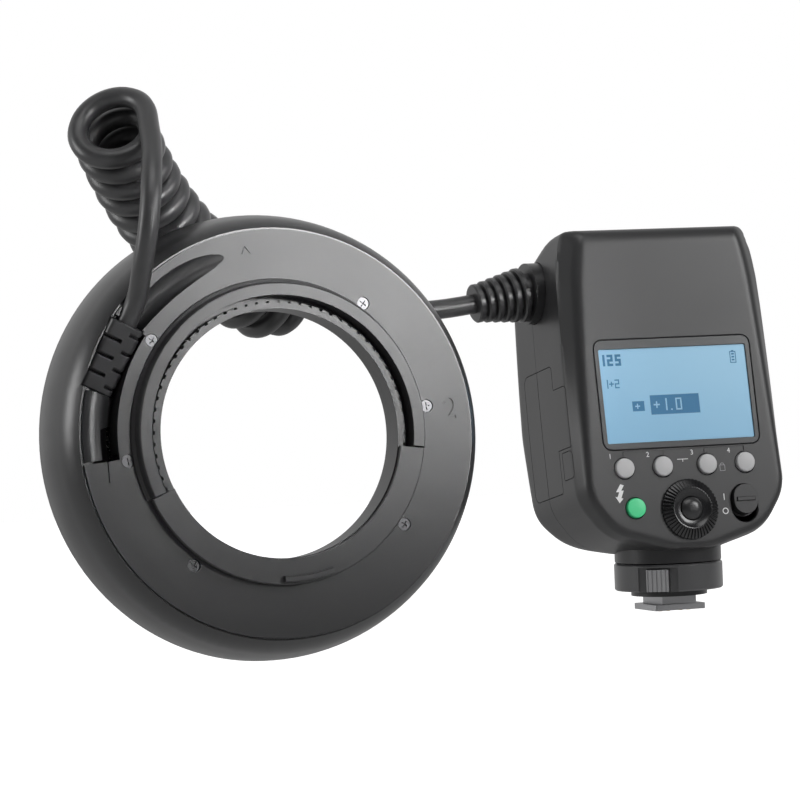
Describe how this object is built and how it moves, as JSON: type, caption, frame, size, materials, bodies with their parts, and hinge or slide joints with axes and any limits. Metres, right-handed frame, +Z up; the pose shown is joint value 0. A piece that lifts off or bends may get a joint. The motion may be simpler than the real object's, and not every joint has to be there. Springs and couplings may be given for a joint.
{
  "type": "macro ring flash",
  "caption": "Macro ring flash: ring-shaped lens-mounted head joined by a curly cord to a hot-shoe controller with display, dial, push buttons, battery pack and shoe lock.",
  "frame": {"origin": "centre of the bottom face of the hot-shoe foot under the controller", "axes": "+Z up out of the camera's shoe, +X to the right as the display is read, the display and the ring's lens side face -Y, and -Z points out of the foot into the camera's shoe"},
  "size_m": [0.2663, 0.1137, 0.1829],
  "materials": {
    "body_plastic": "satin",
    "ring_plastic": "satin",
    "ring_gloss": "gloss",
    "diffuser": "frosted",
    "reflector_metal": "satin",
    "tube_glass": "polished",
    "lamp_lens": "gloss",
    "board_laminate": "satin",
    "cord_rubber": "satin",
    "boot_rubber": "satin",
    "window": "gloss",
    "lcd": "satin",
    "button_grey": "satin",
    "button_green": "satin",
    "dial_plastic": "gloss",
    "capacitor_sleeve": "satin",
    "battery_plastic": "satin",
    "foot_metal": "brushed",
    "release_metal": "satin",
    "screw_steel": "satin",
    "spring_steel": "polished",
    "contact_brass": "polished"
  },
  "bodies": {
    "flash": {"ring_shell": "ring_gloss", "ring_rear_cover": "ring_plastic", "ring_screws": "screw_steel", "adapter_sleeve": "ring_gloss", "mount_collar": "ring_plastic", "latch_springs": "spring_steel", "bore_hood": "ring_plastic", "front_diffuser": "diffuser", "reflector": "reflector_metal", "flash_tube_a": "tube_glass", "flash_tube_b": "tube_glass", "modelling_lamps": "lamp_lens", "ring_board": "board_laminate", "ring_boot": "boot_rubber", "cord_ring_side": "cord_rubber", "curly_coil": "cord_rubber", "cord_controller_side": "cord_rubber", "controller_boot": "boot_rubber", "front_housing": "body_plastic", "rear_housing": "body_plastic", "display_window": "window", "lcd_panel": "lcd", "main_board": "board_laminate", "flash_capacitor": "capacitor_sleeve", "dial_encoder": "body_plastic", "battery_liner": "body_plastic", "foot_collar": "body_plastic", "foot_hub": "body_plastic", "shoe_foot": "foot_metal", "shoe_screws": "screw_steel"},
    "menu_button_1": {"menu_button_1": "button_grey"},
    "menu_button_2": {"menu_button_2": "button_grey"},
    "menu_button_3": {"menu_button_3": "button_grey"},
    "menu_button_4": {"menu_button_4": "button_grey"},
    "test_button": {"test_button": "button_green"},
    "set_button": {"set_button": "dial_plastic"},
    "control_dial": {"control_dial": "dial_plastic"},
    "slide_switch": {"slide_switch": "body_plastic"},
    "battery_pack": {"battery_pack": "battery_plastic"},
    "battery_latch": {"battery_latch": "body_plastic"},
    "lock_ring": {"lock_ring": "body_plastic"},
    "lock_release": {"lock_release": "release_metal"},
    "locking_pin": {"locking_pin": "spring_steel"},
    "contact_pins": {"contact_pins": "contact_brass"},
    "adapter_latch": {"adapter_latch": "ring_plastic"}
  },
  "joints": [
    {"name": "menu_button_push_1", "type": "slide", "parent": "flash", "child": "menu_button_1", "axis": [0, 0.9851, -0.1721], "range_m": [0, 0.001], "stiffness_N_per_m": 400, "springref_m": -0.0005},
    {"name": "menu_button_push_2", "type": "slide", "parent": "flash", "child": "menu_button_2", "axis": [0, 0.9851, -0.1721], "range_m": [0, 0.001], "stiffness_N_per_m": 400, "springref_m": -0.0005},
    {"name": "menu_button_push_3", "type": "slide", "parent": "flash", "child": "menu_button_3", "axis": [0, 0.9851, -0.1721], "range_m": [0, 0.001], "stiffness_N_per_m": 400, "springref_m": -0.0005},
    {"name": "menu_button_push_4", "type": "slide", "parent": "flash", "child": "menu_button_4", "axis": [0, 0.9851, -0.1721], "range_m": [0, 0.001], "stiffness_N_per_m": 400, "springref_m": -0.0005},
    {"name": "test_button_push", "type": "slide", "parent": "flash", "child": "test_button", "axis": [0, 0.9851, -0.1721], "range_m": [0, 0.001], "stiffness_N_per_m": 400, "springref_m": -0.0005},
    {"name": "set_button_push", "type": "slide", "parent": "flash", "child": "set_button", "axis": [0, 0.9851, -0.1721], "range_m": [0, 0.001], "stiffness_N_per_m": 400, "springref_m": -0.0005},
    {"name": "dial_turn", "type": "hinge", "parent": "flash", "child": "control_dial", "pos_m": [0, -0.01929, 0.0344], "axis": [0, -0.9851, 0.1721], "continuous": true},
    {"name": "switch_slide", "type": "slide", "parent": "flash", "child": "slide_switch", "axis": [0, -0.1721, -0.9851], "range_m": [0, 0.0025]},
    {"name": "battery_slide", "type": "slide", "parent": "flash", "child": "battery_pack", "axis": [-1, 0, 0], "range_m": [0, 0.06]},
    {"name": "battery_latch_push", "type": "slide", "parent": "flash", "child": "battery_latch", "axis": [1, 0, 0], "range_m": [0, 0.0015], "stiffness_N_per_m": 300, "springref_m": -0.0005},
    {"name": "lock_ring_turn", "type": "hinge", "parent": "flash", "child": "lock_ring", "pos_m": [0, 0, 0.011], "axis": [0, 0, 1], "range_deg": [0, 60]},
    {"name": "lock_release_push", "type": "slide", "parent": "lock_ring", "child": "lock_release", "axis": [0.5878, 0.809, 0], "range_m": [0, 0.0015], "stiffness_N_per_m": 300, "springref_m": -0.0005},
    {"name": "locking_pin_drop", "type": "slide", "parent": "flash", "child": "locking_pin", "axis": [0, 0, -1], "range_m": [0, 0.0017]},
    {"name": "contact_push", "type": "slide", "parent": "flash", "child": "contact_pins", "axis": [0, 0, 1], "range_m": [0, 0.0005], "stiffness_N_per_m": 300, "springref_m": -0.0005},
    {"name": "adapter_latch_slide", "type": "slide", "parent": "flash", "child": "adapter_latch", "axis": [0.1271, -0.0778, -0.9888], "range_m": [0, 0.0025], "stiffness_N_per_m": 500, "springref_m": -0.0005}
  ],
  "couplings": [
    {"joint": "locking_pin_drop", "follows": "lock_ring_turn", "m_per_rad": 0.001528}
  ]
}
